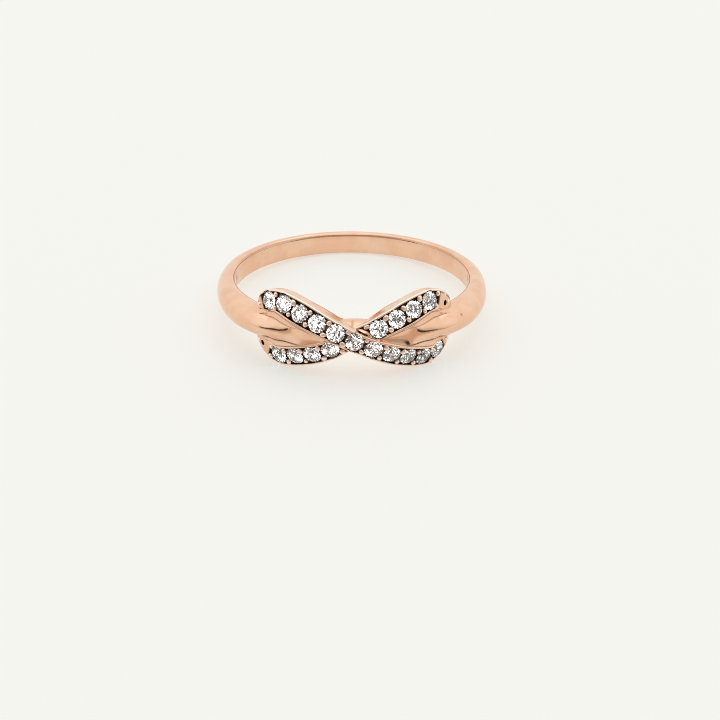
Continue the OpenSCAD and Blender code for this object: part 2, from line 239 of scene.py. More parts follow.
def smooth(table, x, column):
    """Values of a table's column at x, on a cubic through its rows."""
    rows = np.asarray(table, float)
    keys, values = rows[:, 0], rows[:, column]
    x = np.asarray(x, float)
    last = len(keys) - 1
    i = np.clip(np.searchsorted(keys, x, side="right") - 1, 0, last - 1)
    low, high = np.maximum(np.arange(last + 1) - 1, 0), np.minimum(np.arange(last + 1) + 1, last)
    slope = (values[high] - values[low]) / (keys[high] - keys[low])
    span = keys[i + 1] - keys[i]
    s = (x - keys[i]) / span
    return (
        (1 + 2 * s) * (1 - s) ** 2 * values[i]
        + s * (1 - s) ** 2 * span * slope[i]
        + s * s * (3 - 2 * s) * values[i + 1]
        + s * s * (s - 1) * span * slope[i + 1]
    )


def unit(vectors):
    """Vectors of length 1."""
    return vectors / np.linalg.norm(vectors, axis=-1, keepdims=True)


def round_at(radius, degrees, height):
    """Points at a radius and ring angle, 0 at the head and 180 at the back."""
    a = np.radians(degrees)
    return np.stack(np.broadcast_arrays(radius * np.sin(a), -radius * np.cos(a), height), -1)


class Sizes:
    """The scene's sizes in millimetres, and what follows from them."""

    def __init__(self):
        scene = bpy.context.scene
        for group in (scene.ring_sizes, scene.ring_setting):
            for name in names_of(group):
                value = getattr(group, name)
                plain = name.endswith(("_share", "_soft")) or name == "lean"
                setattr(self, name, value if plain else value / MM)
        self.lean = math.degrees(self.lean)
        self.bore_r = self.bore_d / 2
        self.half_strand = self.strand_w / 2
        self.stone_r = self.stone_d / 2
        self.head_angle = math.degrees(math.asin(self.head_w / 2 / (self.bore_r + self.end_rise)))
        self.girdle_top = self.table_rise - self.crown_share * self.stone_d
        self.girdle_low = self.girdle_top - self.girdle_share * self.stone_d
        self.culet = self.girdle_low - self.pavilion_share * self.stone_d


class Strand:
    """One strand's centre line and directions."""

    NUDGE = 0.002
    CHORDS = 60
    CHANNEL_PAST = 0.12

    def __init__(self, sizes, side):
        self.z, self.side = sizes, side
        mirrored = [tuple(v * s for v, s in zip(row, STRAND_SIGNS)) for row in STRAND[:0:-1]]
        self.table = tuple(mirrored) + STRAND
        steps = np.linspace(0, 1, self.CHORDS + 1)
        chords = np.linalg.norm(np.diff(self.point(steps), axis=0), axis=1)
        self.steps, self.lengths = steps, np.concatenate([[0.0], np.cumsum(chords)])
        self.length = self.lengths[-1] - (sizes.over_short if side == OVER else 0.0)
        self.end = float(self.share_at(self.length))

    def radius(self, a):
        z = self.z
        drop = z.under_drop * smooth(self.table, a, 5) if self.side == UNDER else 0.0
        return z.bore_r + mix(z.end_rise, z.crossing_rise, smooth(self.table, a, 2)) - drop

    def height_share(self, a):
        return self.side * smooth(self.table, a, 1)

    def point(self, a):
        a = np.asarray(a, float)
        return round_at(self.radius(a), a * self.z.head_angle, self.z.lobe_h * self.height_share(a))

    def half_width(self, a):
        return self.z.half_strand * smooth(self.table, a, 4)

    def axes(self, a):
        """Centre, and directions across, out and along, at shares a of the head angle."""
        a = np.asarray(a, float)
        along = unit(self.point(a + self.NUDGE) - self.point(a - self.NUDGE))
        across = unit(np.array([0.0, 0.0, 1.0]) - along * along[..., 2:3])
        out = np.cross(along, across)
        turn = np.radians(self.side * self.z.lean * smooth(self.table, a, 3))[..., None]
        c, s = np.cos(turn), np.sin(turn)
        return self.point(a), across * c - out * s, out * c + across * s, along

    def share_at(self, distance):
        """Share of the head angle at a distance from the crossing."""
        distance = np.asarray(distance, float)
        return np.sign(distance) * np.interp(np.abs(distance), self.lengths, self.steps)

    def stone_places(self):
        """Distances of the stones from the crossing."""
        z = self.z
        if self.side == OVER:
            return [(i - (OVER_COUNT - 1) / 2) * z.stone_pitch for i in range(OVER_COUNT)]
        right = [z.under_first + i * z.stone_pitch for i in range(UNDER_SIDE_COUNT)]
        return [-d for d in reversed(right)] + right

    def joint_places(self):
        """Distances of the joints between stones."""
        z = self.z
        if self.side == OVER:
            return [(i - OVER_COUNT / 2) * z.stone_pitch for i in range(1, OVER_COUNT)]
        right = [z.under_first + (i - 0.5) * z.stone_pitch for i in range(UNDER_SIDE_COUNT + 1)]
        return [-d for d in reversed(right)] + right

    def channel_end(self):
        """Distance at which the channel ends."""
        z = self.z
        past = z.stone_r + z.seat_gap if self.side == OVER else z.stone_pitch / 2 + self.CHANNEL_PAST
        return self.stone_places()[-1] + past


def clear_selection():
    """Nothing selected, in object mode."""
    if bpy.context.mode != "OBJECT":
        bpy.ops.object.mode_set(mode="OBJECT")
    bpy.ops.object.select_all(action="DESELECT")


def named(name):
    """The active object, with a name."""
    o = bpy.context.object
    o.name = o.data.name = name
    return o


def pick(*objects):
    """Only these objects selected, the first one active."""
    clear_selection()
    for o in objects:
        o.select_set(True)
    bpy.context.view_layer.objects.active = objects[0]
    return objects[0]


MERGE = 1e-4


def closed_outwards(fill_ends=False):
    """Merges doubles, turns faces outwards and goes back to object mode."""
    bpy.ops.mesh.select_all(action="SELECT")
    bpy.ops.mesh.remove_doubles(threshold=MERGE)
    if fill_ends:
        bpy.ops.mesh.fill_holes(sides=0)
    bpy.ops.mesh.normals_make_consistent(inside=False)
    bpy.ops.object.mode_set(mode="OBJECT")


def tube(name, rings, loop):
    """A tube through rings of points: a grid of a row for each ring, wrapped round and joined along a seam.
    A loop joins its ends, and other ends are filled."""
    stations, around = len(rings), len(rings[0])
    rows = stations + (1 if loop else 0)
    clear_selection()
    bpy.ops.mesh.primitive_grid_add(x_subdivisions=around, y_subdivisions=rows - 1, size=2)
    o = named(name)
    flat = np.array([v.co for v in o.data.vertices])
    if len(flat) != (around + 1) * rows:
        raise RuntimeError(f"{name}: the grid has {len(flat)} points, not {(around + 1) * rows}")
    column = np.rint((flat[:, 0] + 1) / 2 * around).astype(int) % around
    row = np.rint((flat[:, 1] + 1) / 2 * (rows - 1)).astype(int) % stations
    o.data.vertices.foreach_set("co", np.asarray(rings)[row, column].astype(np.float32).ravel())
    o.data.update()
    bpy.ops.object.mode_set(mode="EDIT")
    closed_outwards(fill_ends=not loop)
    return o


def turned(name, profile, sides):
    """A solid turned round its Z axis from a profile of radii and heights that starts and ends on it."""
    clear_selection()
    bpy.ops.mesh.primitive_circle_add(vertices=len(profile), radius=1)
    o = named(name)
    o.data.vertices.foreach_set("co", np.array([(r, 0, h) for r, h in profile], np.float32).ravel())
    bpy.ops.object.mode_set(mode="EDIT")
    mesh = bmesh.from_edit_mesh(o.data)
    axis = [e for e in mesh.edges if all(v.co.x < 1e-6 for v in e.verts)]
    bmesh.ops.delete(mesh, geom=axis, context="EDGES")
    bmesh.update_edit_mesh(o.data)
    bpy.ops.mesh.select_all(action="SELECT")
    bpy.ops.mesh.spin(steps=sides, angle=math.tau, center=(0, 0, 0), axis=(0, 0, 1))
    closed_outwards()
    return o


def placed_copy(model, matrix):
    """A copy with its own mesh, at a matrix's place."""
    o = model.copy()
    o.data = model.data.copy()
    bpy.context.collection.objects.link(o)
    o.data.transform(matrix)
    return o


def joined(name, objects):
    """Several objects as one."""
    pick(*objects)
    bpy.ops.object.join()
    return named(name)


def cut_away(o, cutter):
    """Takes the cutter out of the object."""
    pick(o)
    bpy.ops.object.modifier_add(type="BOOLEAN")
    modifier = o.modifiers[-1]
    modifier.operation, modifier.solver, modifier.object = "DIFFERENCE", "EXACT", cutter
    bpy.ops.object.modifier_apply(modifier=modifier.name)
    bpy.data.objects.remove(cutter)


def seat_matrix(strand, distance):
    """A place on a strand: X along it, Y across it and Z out of its top."""
    p, across, out, along = strand.axes(strand.share_at(distance))
    m = Matrix.Identity(4)
    for i, v in enumerate((along, across, out, p)):
        for j in range(3):
            m[j][i] = float(v[j])
    return m


def resting_pose():
    """The place of the finger axis in the frame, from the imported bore, and the change from millimetres."""
    bore = next(m for m in frame["record"]["mounts"] if m["name"] == "finger_bore")
    tilt = math.atan2(bore["axis"][1], bore["axis"][2])
    return Matrix.Translation(bore["pos_m"]) @ Matrix.Rotation(-tilt, 4, "X") @ Matrix.Scale(MM, 4)


def laid_down(o, smooth_angle):
    """A finished piece of metal: laid in the frame, smooth up to an angle, and in place of the casting."""
    o.data.transform(resting_pose())
    pick(o)
    bpy.ops.object.shade_smooth_by_angle(angle=math.radians(smooth_angle))
    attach(o, "root")
    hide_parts("ring_body")
    o.data.materials.append(bpy.data.materials["rose_gold_polished"])


def shaded(o, name, values):
    """Keeps a value for each point as an attribute that the material reads."""
    layer = o.data.attributes.new(name, "FLOAT", "POINT")
    layer.data.foreach_set("value", np.asarray(values, np.float32))


# Steps between the band's rings in degrees, within the head's span and behind it
HEAD_STEP, BACK_STEP, HEAD_SPAN = 0.5, 1.5, 51.0

# Steps over a section's inner face, edges and outside, and rows along a rim
INNER_STEPS = 8
EDGE_STEPS = 6
DOME_STEPS = 96
RIM_ROWS = 60

# How far a tongue's sides lie inside the strands, and widths of its crease and dip
BURY = 0.1
CREASE_WIDTH = 0.035
DIP_WIDTH = 0.09

# Ring angles between which the shade painted along a tongue's lines comes up and fades
LINES_UP, LINES_DOWN = (18, 24), (36, 42)

# Dark reflection painted along the back's inner edge: height over the bore, half width, ring angles, darkness
EDGE_RISE, EDGE_HALF, EDGE_UP, EDGE_DARK = 0.06, 0.04, (95, 120), 0.45

# Small dark marks on the band, outside (1) and on the inner face (0); those on the inner face are painted
# dark reflections.
# Columns: side, ring angle, height, half size round the ring in degrees, half height, darkness
BAND_MARKS = (
    (0, -98.5, 0.0, 1.3, 0.35, 0.8),
    (0, 94.0, 0.15, 1.1, 0.35, 0.8),
    (1, -0.8, 0.94, 0.45, 0.12, 0.6),
    (1, 46.6, 0.55, 0.35, 0.06, 0.9),
)


def quarter(steps):
    """Angles of a quarter turn."""
    return np.radians(np.linspace(0, 90, steps + 1))


class Band:
    """The band with its tongues: sizes at each ring angle, and the gap between the strands."""

    def __init__(self, sizes):
        z = self.z = sizes
        rows = []
        for a, w, t, web, spread, crown in TONGUE:
            half, thick = mix(w * z.shoulder_w, z.web_w, web) / 2, mix(t * z.shoulder_t, z.web_t, web)
            rows.append((a * z.head_angle, half, thick, spread, crown))
        for angle, w, t in BACK:
            half, thick = mix(z.back_w, z.shoulder_w, w) / 2, mix(z.back_t, z.shoulder_t, t)
            rows.append((angle, half, thick, 0.0, TONGUE[-1][5]))
        self.table = [(-rows[1][0],) + rows[1][1:]] + rows
        self.rims = {side: self.rim(Strand(z, side)) for side in (OVER, UNDER)}

    def rim(self, strand):
        """Inner edge of a strand's rim: ring angles, heights and radii."""
        shares = np.linspace(0.1, 0.85, RIM_ROWS)
        p, across, _, _ = strand.axes(shares)
        p = p - across * (strand.half_width(shares) * strand.side)[:, None]
        return np.degrees(np.arctan2(p[:, 0], -p[:, 1])), strand.side * p[:, 2], np.hypot(p[:, 0], p[:, 1])

    def sizes_at(self, angles):
        """Half width, thickness, share that spreads, and half width of the crown."""
        half, thick, spread, crown = (smooth(self.table, np.abs(angles), c) for c in (1, 2, 3, 4))
        return half, thick, np.clip(spread, 0.0, 1.0), crown

    def gap(self, angles, heights):
        """Height and radius of the gap's edge on the side of each point."""
        side = np.where((np.asarray(angles) > 0) == (np.asarray(heights) > 0), UNDER, OVER)
        turn, found = np.abs(angles), []
        for column in (1, 2):
            over, under = (np.interp(turn, self.rims[s][0], self.rims[s][column]) for s in (OVER, UNDER))
            found.append(np.where(side == OVER, over, under))
        return np.maximum(found[0], 0.0), found[1]

    def plain_section(self, half, thick):
        """Radius and height: soft inner edges, a half-round outside and the inner face."""
        z = self.z
        flat, edge = half * (1 - z.edge_soft), thick * z.edge_soft
        turn = quarter(EDGE_STEPS)
        edge_r = z.bore_r + edge * (1 - np.cos(turn))
        edge_z = flat + (half - flat) * np.sin(turn)
        dome = np.linspace(0, math.pi, DOME_STEPS + 1)[1:-1]
        dome_r = z.bore_r + edge + (thick - edge) * np.sin(dome)
        inner = np.linspace(flat, -flat, INNER_STEPS + 1)[1:-1]
        r = np.concatenate([edge_r, dome_r, edge_r[::-1], np.full(len(inner), z.bore_r)])
        return r, np.concatenate([-edge_z, -half * np.cos(dome), edge_z[::-1], inner])

    def spread_section(self, angle, thick, crown):
        """The same between the strands: a crown with a fine line along its foot, on a slope that dips at each
        rim, and sides inside the strands."""
        z = self.z
        (low_z, high_z), (low_r, high_r) = self.gap(np.full(2, angle), np.array([-1.0, 1.0]))
        low_z, high_z = low_z + BURY, high_z + BURY
        low_r, high_r = low_r - z.groove, high_r - z.groove
        side = np.linspace(0, 1, EDGE_STEPS + 1)
        u = -np.cos(np.linspace(0, math.pi, DOME_STEPS + 1)[1:-1])
        reach = np.where(u < 0, low_z, high_z)
        h = u * reach
        slope = mix(low_r, high_r, (h + low_z) / (low_z + high_z))
        rise = z.bore_r + thick - mix(low_r, high_r, low_z / (low_z + high_z))
        r = slope + rise * np.maximum(0, 1 - (u / crown) ** 2)
        r -= z.crease * float(ramp(rise, 0.05, 0.25)) * bell((np.abs(u) - crown) * reach / CREASE_WIDTH)
        r -= z.groove_dip * (1 - ramp(reach - BURY - np.abs(h), 0, DIP_WIDTH))
        inner = np.linspace(high_z, -low_z, INNER_STEPS + 1)[1:-1]
        foot = z.bore_r + 0 * inner
        r = np.concatenate([mix(z.bore_r, r[0], side), r, mix(z.bore_r, r[-1], side)[::-1], foot])
        return r, np.concatenate([np.full(len(side), -low_z), h, np.full(len(side), high_z), inner])

    def rings(self):
        """Rings of points round the finger, from back to back."""
        rings = []
        back = np.arange(HEAD_SPAN, 180, BACK_STEP)
        head = np.arange(-HEAD_SPAN + HEAD_STEP, HEAD_SPAN, HEAD_STEP)
        for angle in np.concatenate([back[::-1] * -1, head, back, [180.0]]):
            half, thick, spread, crown = (float(v) for v in self.sizes_at(angle))
            r, h = self.plain_section(half, thick)
            if spread > 0:
                spread_r, spread_h = self.spread_section(angle, thick, crown)
                r, h = mix(r, spread_r, spread), mix(h, spread_h, spread)
            rings.append(round_at(r, angle, h))
        return rings

    def line_values(self, co):
        """How dark a point is painted: shade by a crown's foot and at the rims, a dark reflection on the
        back's inner edge, and the marks.
        """
        angles = np.degrees(np.arctan2(co[:, 0], -co[:, 1]))
        turn, h = np.abs(angles), np.abs(co[:, 2])
        _, _, spread, crown = self.sizes_at(angles)
        gap, _ = self.gap(angles, co[:, 2])
        above_bore = np.hypot(co[:, 0], co[:, 1]) - self.z.bore_r
        outside = ramp(above_bore, 0.6, 0.8)
        lower = ramp(-co[:, 2], -0.2, 0.2)
        foot = bell((h - crown * (gap + BURY)) / (CREASE_WIDTH * (1 + 0.6 * lower))) * mix(0.45, 1.0, lower)
        along = ramp(turn, *LINES_UP) * (1 - ramp(turn, *LINES_DOWN))
        at_rim = (1 - ramp(gap - h, 0.0, DIP_WIDTH * (1 + 0.5 * lower))) * mix(0.7, 1.0, lower)
        lines = outside * spread * np.maximum(foot * along, at_rim * (0.25 + 0.75 * along))
        edge = bell((above_bore - EDGE_RISE) / EDGE_HALF) * ramp(co[:, 2], 0.3, 0.5) * ramp(turn, *EDGE_UP)
        lines = np.maximum(lines, EDGE_DARK * edge)
        for side, angle, height, half_angle, half_height, dark in BAND_MARKS:
            spot = bell(np.hypot((angles - angle) / half_angle, (co[:, 2] - height) / half_height))
            face = outside if side else 1 - ramp(above_bore, 0.02, 0.08)
            lines = np.maximum(lines, dark * spot * face)
        return lines


# Sections along a strand, least square width at its tip, and steps over wall, rounding and floor
STRAND_STATIONS = 300
TIP_WIDTH = 0.01
WALL_STEPS = 6
RIM_STEPS = 6
FLOOR_STEPS = 20

# How far the inner face lies outside the bore, and how far out a point starts to find it
BORE_CLEAR = 0.004
ABOVE_FLOOR = 0.5

# A rim's rounded share, the rounding's depth for its width, and parts of a rim per lip edge
RIM_ROUND, RIM_FALL, LIP_PARTS = 0.75, 1.2, 9

# Shares of the lobe height over which outer and inner rims get lower, and the drop's width
LOW_FADE, INNER_FADE, DROP_WIDTH = (0.3, 0.8), (0.15, 0.5), 0.12

# Half the length, as a share of the head angle, in which the channel ends
CHANNEL_FADE = 0.006


def strand_top(z, half, open_channel):
    """Top of a strand's section from left to right: across and out."""
    soft, edge = z.rim_w * RIM_ROUND, z.rim_w / LIP_PARTS
    lip = half - z.rim_w
    depth = mix(edge, z.channel_depth, open_channel)
    floor_half = lip - depth / 4
    t = quarter(RIM_STEPS)
    rim = [(half - soft * (1 - math.cos(a)), -soft * RIM_FALL * (1 - math.sin(a))) for a in t]
    lips = [(lip + edge, -edge / 4), (lip, -edge), (mix(lip, floor_half, 0.5), mix(-edge, -depth, 0.5))]
    floor = [(x, -depth) for x in np.linspace(floor_half, 0, FLOOR_STEPS // 2 + 1)]
    right = rim + lips + floor
    return [(-x, y) for x, y in right] + [(x, y) for x, y in right[-2::-1]]


def rim_drop(z, height, x, half):
    """How much lower the rims are: outside on a lower lobe, and on the tongues' side everywhere."""
    outer = np.sign(x) * np.sign(height) > 0
    low = z.low_rim * ramp(-height, *LOW_FADE)
    inner = z.inner_rim * ramp(np.abs(height), *INNER_FADE)
    lip = half - z.rim_w
    return np.where(outer, low, inner) * ramp(np.abs(x), lip - DROP_WIDTH, lip)


def bore_depth(z, q, out):
    """How far below a point the bore lies."""
    a = out[0] ** 2 + out[1] ** 2
    b = q[0] * out[0] + q[1] * out[1]
    c = q[0] ** 2 + q[1] ** 2 - (z.bore_r + BORE_CLEAR) ** 2
    return (b - math.sqrt(max(b * b - a * c, 0.0))) / a


def strand_rings(z, strand):
    """Rings of points along a strand, from left to right."""
    turns = np.sin(np.radians(90 * (2 * np.arange(STRAND_STATIONS + 1) / STRAND_STATIONS - 1)))
    shares = turns * strand.end
    open_end = float(strand.share_at(strand.channel_end()))
    centres, acrosses, outs, _ = strand.axes(shares)
    heights = strand.height_share(shares)
    rings = []
    for a, p, across, out, height in zip(shares, centres, acrosses, outs, heights):
        half = float(strand.half_width(a))
        tip = strand.point(math.copysign(strand.end, a))
        d = float(np.linalg.norm(p - tip)) / z.half_strand
        w = 1.0 if d >= 1 else math.sqrt(max(TIP_WIDTH, 1 - (1 - d) ** 2))
        open_channel = 1 - float(ramp(abs(a), open_end - CHANNEL_FADE, open_end + CHANNEL_FADE))
        top = [
            p + across * x * w + out * (y - float(rim_drop(z, height, x, half)))
            for x, y in strand_top(z, half, open_channel)
        ]
        sides = []
        for sign in (1, -1):
            wall_top = top[-1] if sign > 0 else top[0]
            depth = bore_depth(z, wall_top, out)
            edge = z.inner_edge * float(ramp(sign * height, 0.0, 0.5)) * w
            wall = [wall_top - out * (depth - edge) * s for s in np.linspace(0, 1, WALL_STEPS + 1)[1:]]
            for t in quarter(RIM_STEPS)[1:]:
                x = across * -sign * edge * (1 - math.cos(t))
                q = wall_top + x
                wall.append(q - out * (bore_depth(z, q, out) - edge * (1 - math.sin(t))))
            sides.append(wall)
        low_a, low_b = sides[0][-1], sides[1][-1]
        floor = []
        for s in np.linspace(0, 1, FLOOR_STEPS + 1)[1:-1]:
            q = mix(low_a, low_b, s) + out * ABOVE_FLOOR
            floor.append(q - out * bore_depth(z, q, out))
        rings.append(np.array(top + sides[0] + floor + sides[1][::-1]))
    return rings


# Sides of a seat, height of its cutter above the rims, and the least width of rim that it leaves
SEAT_SIDES = 48
CUT_ABOVE = 0.3
THINNEST_RIM = 0.05


def seat_cutter(z, half):
    """The space of a stone, opening upwards as far as the half width lets it."""
    r = z.stone_r + z.seat_gap
    open_r = r + min(z.seat_flare, half - r - THINNEST_RIM)
    stone = [(0.0, z.culet - z.seat_gap), (r, z.girdle_low), (r, z.girdle_top)]
    return turned("seat_cutter", stone + [(open_r, 0.0), (open_r, CUT_ABOVE), (0.0, CUT_ABOVE)], SEAT_SIDES)


def cut_seats(z, o):
    """Cuts the seats, every second one at a time, as neighbours can meet."""
    for side in (OVER, UNDER):
        strand = Strand(z, side)
        for first in (0, 1):
            cutters = []
            for d in strand.stone_places()[first::2]:
                cutter = seat_cutter(z, float(strand.half_width(strand.share_at(d))))
                cutter.data.transform(seat_matrix(strand, d))
                cutters.append(cutter)
            cut_away(o, joined("cutters", cutters))


def cut_marks(z, o, strand):
    """Drills the mark near each end of a strand."""
    r = z.mark_d / 2
    profile = [(0.0, -z.channel_depth), (r, -z.channel_depth), (r, CUT_ABOVE), (0.0, CUT_ABOVE)]
    drill = turned("drill", profile, SEAT_SIDES // 2)
    places = [seat_matrix(strand, sign * (strand.length - z.mark_in)) for sign in (-1, 1)]
    cutters = [placed_copy(drill, m) for m in places]
    bpy.data.objects.remove(drill)
    cut_away(o, joined("cutters", cutters))


BEAD_SIDES = 20
BEAD_RINGS = 12
BEAD_FLAT = 0.85
BEAD_SEED = 7

# Ranges of a bead's stretch two ways, and of its drift, rise and tilt
BEAD_WIDE, BEAD_LONG = (0.85, 1.15), (0.85, 1.3)
BEAD_DRIFT, BEAD_RISE, BEAD_TILT = (-0.03, 0.03), (-0.03, 0.02), (-0.35, 0.35)

# Place of the extra bead: diameters from the strand's end, and distance past the others
EXTRA_IN, EXTRA_OUT = 2.4, 0.04


def bead_model(z):
    """One setting bead, a flattened grain of metal."""
    clear_selection()
    bpy.ops.mesh.primitive_uv_sphere_add(segments=BEAD_SIDES, ring_count=BEAD_RINGS, radius=z.bead_d / 2)
    o = named("bead_model")
    o.data.transform(Matrix.Diagonal((1.0, 1.0, BEAD_FLAT, 1.0)))
    return o


def bead_places(z, strand, rng):
    """Matrices for a strand's beads: a pair at each joint and one at each end, or two on the under strand."""
    places = []

    def add(distance, side_shift, lift=0.0):
        wide, long = rng.uniform(*BEAD_WIDE), rng.uniform(*BEAD_LONG)
        drift = [rng.uniform(*BEAD_DRIFT) for _ in range(2)]
        rise = z.bead_rise + lift + rng.uniform(*BEAD_RISE) - z.bead_d / 2
        low = Matrix.Translation((drift[0], side_shift + drift[1], rise))
        tilt = Matrix.Rotation(rng.uniform(*BEAD_TILT), 4, "X")
        tilt = tilt @ Matrix.Rotation(rng.uniform(*BEAD_TILT), 4, "Y")
        turn = Matrix.Rotation(rng.uniform(0, math.pi), 4, "Z") @ Matrix.Diagonal((wide, long, 1.0, 1.0))
        places.append(seat_matrix(strand, distance) @ low @ tilt @ turn)

    for d in strand.joint_places():
        add(d, z.bead_out)
        add(d, -z.bead_out)
    for sign in (-1, 1):
        if strand.side == OVER:
            add(sign * (strand.length - z.end_bead_in), 0.0, z.end_bead_lift)
        else:
            add(sign * (strand.length - z.end_bead_in - z.bead_d / 2), sign * z.bead_d / 2)
            add(sign * (strand.length - EXTRA_IN * z.bead_d), sign * (z.bead_out + EXTRA_OUT))
    return places


# Sections among which a point's nearest is sought, and parts in which points are taken
NEAR_STEPS, NEAR_PARTS = 240, 64

# Shares of a rim's width over which recesses begin, and depths over which the shade painted in them darkens
PAINTED_SHADE_WIDTHS, PAINTED_SHADE_DEPTHS = (0.8, 0.4), (0.01, 0.09)

# Line of painted shade along an outer rim: its place in rim widths, half width, heights and darkness
LINE_AT, LINE_HALF, LINE_HEIGHTS, LINE_DARK = 1.2, 0.05, (-0.06, -0.03), 0.8

# Distances off the bore where the shade painted in recesses comes up, and past a strand's end where it fades
OFF_BORE, PAST_END = (0.05, 0.2), (0.1, 0.2)

# The part of a rim where a highlight is painted: shares of its width, heights, and strength on the tongues'
# side
PAINTED_HIGHLIGHT_WIDTHS, PAINTED_HIGHLIGHT_HEIGHTS, PAINTED_HIGHLIGHT_INSIDE = (1.1, 0.8), (-0.09, -0.02), 0.2

# A bead's foot, where shade is painted, as distances below its top, and how dark it is and how strong the
# highlight painted on a bead is
FOOT_LOW, FOOT_TOP, FOOT_DARK, BEAD_PAINTED_HIGHLIGHT = 0.16, 0.09, 0.9, 0.75


def points_of(o):
    """A piece's points."""
    co = np.empty(len(o.data.vertices) * 3, np.float32)
    o.data.vertices.foreach_get("co", co)
    return co.reshape(-1, 3).astype(float)


def on_section(strand, co):
    """Place of each point by a strand's nearest section: distance across, height above the rims, distance
    past it, half width, and 1 on the outer side or -1 on the tongues'."""
    shares = np.linspace(-strand.end, strand.end, NEAR_STEPS)
    p, across, out, along = strand.axes(shares)
    parts = np.array_split(co, NEAR_PARTS)
    near = np.concatenate([np.argmin(((c[:, None] - p[None]) ** 2).sum(2), axis=1) for c in parts])
    local = co - p[near]
    x, y, past = ((local * v[near]).sum(1) for v in (across, out, along))
    half, height = strand.half_width(shares)[near], strand.height_share(shares)[near]
    return x, y + rim_drop(strand.z, height, x, half), np.abs(past), half, np.sign(x) * np.sign(height)


def painted_shade_values(z, strand, co):
    """How much shade is painted on each point, from 0 to 1: by how deep in a channel or seat it lies, and
    along the outer rim's line.
    """
    x, y, past, half, side = on_section(strand, co)
    deep = 1 - ramp(np.abs(x), *(half - z.rim_w * w for w in PAINTED_SHADE_WIDTHS))
    deep = ramp(-y, *PAINTED_SHADE_DEPTHS) * deep
    line = bell((np.abs(x) - half + z.rim_w * LINE_AT) / LINE_HALF) * (side > 0) * ramp(y, *LINE_HEIGHTS)
    off_bore = ramp(np.hypot(co[:, 0], co[:, 1]) - z.bore_r, *OFF_BORE)
    return np.maximum(deep, LINE_DARK * line) * off_bore * (1 - ramp(past, *PAST_END))


def painted_shade_of(z, co):
    """The same for both strands together."""
    return np.maximum.reduce([painted_shade_values(z, Strand(z, side), co) for side in (OVER, UNDER)])


def painted_highlight_values(z, strand, co):
    """How strong the highlight painted on each point is, from 0 to 1 on a rim's top."""
    x, y, _, half, side = on_section(strand, co)
    on_rim = ramp(np.abs(x), *(half - z.rim_w * w for w in PAINTED_HIGHLIGHT_WIDTHS)) * ramp(y, *PAINTED_HIGHLIGHT_HEIGHTS)
    return on_rim * np.where(side < 0, PAINTED_HIGHLIGHT_INSIDE, 1.0)


class RING_OT_band(bpy.types.Operator):
    """Model the half-round band with its tongues and web"""

    bl_idname = "ring.band"
    bl_label = "Band"

    def execute(self, context):
        z = Sizes()
        band = Band(z)
        o = tube("band", band.rings(), loop=True)
        cut_seats(z, o)
        co = points_of(o)
        # Shade painted in the seats and channels and along the tongues' lines, with the band's painted
        # reflections and marks
        shaded(o, "recess", np.maximum(painted_shade_of(z, co), band.line_values(co)))
        # No highlight is painted on the band
        shaded(o, "burnish", np.zeros(len(co)))
        laid_down(o, smooth_angle=50)
        return {"FINISHED"}


class RING_OT_strands(bpy.types.Operator):
    """Model the two strands with their rims, channels, seats and drilled marks"""

    bl_idname = "ring.strands"
    bl_label = "Strands"

    def execute(self, context):
        z = Sizes()
        for name, side in (("over_strand", OVER), ("under_strand", UNDER)):
            strand = Strand(z, side)
            o = tube(name, strand_rings(z, strand), loop=False)
            cut_seats(z, o)
            if side == UNDER:
                cut_marks(z, o, strand)
            co = points_of(o)
            # Shade painted in the channels, the seats and along the outer rims
            recess = painted_shade_of(z, co)
            shaded(o, "recess", recess)
            # Highlight painted on the rims' tops, but not where shade is painted
            shaded(o, "burnish", painted_highlight_values(z, strand, co) * (1 - recess))
            laid_down(o, smooth_angle=32)
        return {"FINISHED"}


class RING_OT_beads(bpy.types.Operator):
    """Model the beads that hold the stones"""

    bl_idname = "ring.beads"
    bl_label = "Beads"

    def execute(self, context):
        z = Sizes()
        rng = random.Random(BEAD_SEED)
        model = bead_model(z)
        for name, side in (("over_beads", OVER), ("under_beads", UNDER)):
            strand = Strand(z, side)
            o = joined(name, [placed_copy(model, m) for m in bead_places(z, strand, rng)])
            below = z.bead_rise - on_section(strand, points_of(o))[1]
            # Shade painted round each bead's foot
            shaded(o, "recess", FOOT_DARK * ramp(below, FOOT_TOP, FOOT_LOW))
            # Highlight painted all over each bead
            shaded(o, "burnish", np.full(len(below), BEAD_PAINTED_HIGHLIGHT))
            laid_down(o, smooth_angle=180)
        bpy.data.objects.remove(model)
        return {"FINISHED"}


# Floor: its glow, tinted as seen and painted brighter through a stone, and the painted dark reflection of its
# front part as mirrored
FLOOR_GLOW = 0.48
GLOW_TINT, GLOW_THROUGH, PAINTED_DARK_REFLECTION = (1.0, 1.01, 0.955), (4.0, 4.0, 3.9), (0.47, 0.36, 0.3)
FRONT_FROM, FRONT_TO = -0.0115, -0.019
FLOOR_SIZE, FLOOR_CELLS = 4.0, 250.0

# Light and dark cells that rays through a stone see: scale, dark share and brightness
SPARKLE_SCALE, SPARKLE_DARK, SPARKLE_BRIGHT = 1.5, 0.4, 3.2


def new_material(name):
    """A new material's tree and shader."""
    m = bpy.data.materials.new(name)
    m.use_nodes = True
    tree = m.node_tree
    tree.nodes.clear()
    shader = tree.nodes.new("ShaderNodeBsdfPrincipled")
    out = tree.nodes.new("ShaderNodeOutputMaterial")
    tree.links.new(shader.outputs["BSDF"], out.inputs["Surface"])
    return tree, shader


def node(tree, kind, inputs=None, **settings):
    """A node with settings and inputs, which are values or other nodes' outputs."""
    n = tree.nodes.new("ShaderNode" + kind)
    for name, value in settings.items():
        setattr(n, name, value)
    for key, value in (inputs or {}).items():
        if isinstance(value, bpy.types.NodeSocket):
            tree.links.new(value, n.inputs[key])
        else:
            n.inputs[key].default_value = value
    return n


